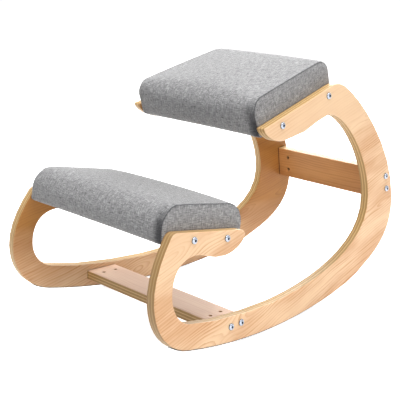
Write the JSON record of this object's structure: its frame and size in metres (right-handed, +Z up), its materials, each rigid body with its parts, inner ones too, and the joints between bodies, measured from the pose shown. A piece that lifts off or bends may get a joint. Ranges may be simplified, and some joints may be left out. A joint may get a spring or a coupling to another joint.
{
  "type": "rocking kneeling chair",
  "caption": "Backless rocking kneeling chair: curved plywood side frames on rounded runners, joined by stretchers and carrying a tilted upholstered seat pad and knee pad.",
  "frame": {"origin": "on the floor, below the middle of the chair's box, at its rest position on the runners", "axes": "+Z up, +Y toward the back of the chair, the knee pad toward -Y, +X toward the sitter's left"},
  "size_m": [0.4562, 0.7422, 0.4995],
  "materials": {
    "birch_ply": "satin",
    "linen": "matte",
    "foam": "matte",
    "dust_cloth": "matte",
    "grip_strip": "matte",
    "steel": "satin"
  },
  "bodies": {
    "root": {"barrel_nut_knee_back_left": "steel", "barrel_nut_knee_back_right": "steel", "barrel_nut_knee_front_left": "steel", "barrel_nut_knee_front_right": "steel", "barrel_nut_lower_back_left": "steel", "barrel_nut_lower_back_right": "steel", "barrel_nut_lower_front_left": "steel", "barrel_nut_lower_front_right": "steel", "barrel_nut_rear_bottom_left": "steel", "barrel_nut_rear_bottom_right": "steel", "barrel_nut_rear_top_left": "steel", "barrel_nut_rear_top_right": "steel", "barrel_nut_seat_back_left": "steel", "barrel_nut_seat_back_right": "steel", "barrel_nut_seat_front_left": "steel", "barrel_nut_seat_front_right": "steel", "bolt_knee_back_left": "steel", "bolt_knee_back_right": "steel", "bolt_knee_front_left": "steel", "bolt_knee_front_right": "steel", "bolt_lower_back_left": "steel", "bolt_lower_back_right": "steel", "bolt_lower_front_left": "steel", "bolt_lower_front_right": "steel", "bolt_rear_bottom_left": "steel", "bolt_rear_bottom_right": "steel", "bolt_rear_top_left": "steel", "bolt_rear_top_right": "steel", "bolt_seat_back_left": "steel", "bolt_seat_back_right": "steel", "bolt_seat_front_left": "steel", "bolt_seat_front_right": "steel", "knee_board": "birch_ply", "knee_cover": "linen", "knee_dust_cover": "dust_cloth", "knee_foam": "foam", "lower_stretcher": "birch_ply", "rear_stretcher": "birch_ply", "runner_strip_left": "grip_strip", "runner_strip_right": "grip_strip", "seat_board": "birch_ply", "seat_cover": "linen", "seat_dust_cover": "dust_cloth", "seat_foam": "foam", "side_frame_left": "birch_ply", "side_frame_right": "birch_ply"}
  },
  "joints": []
}
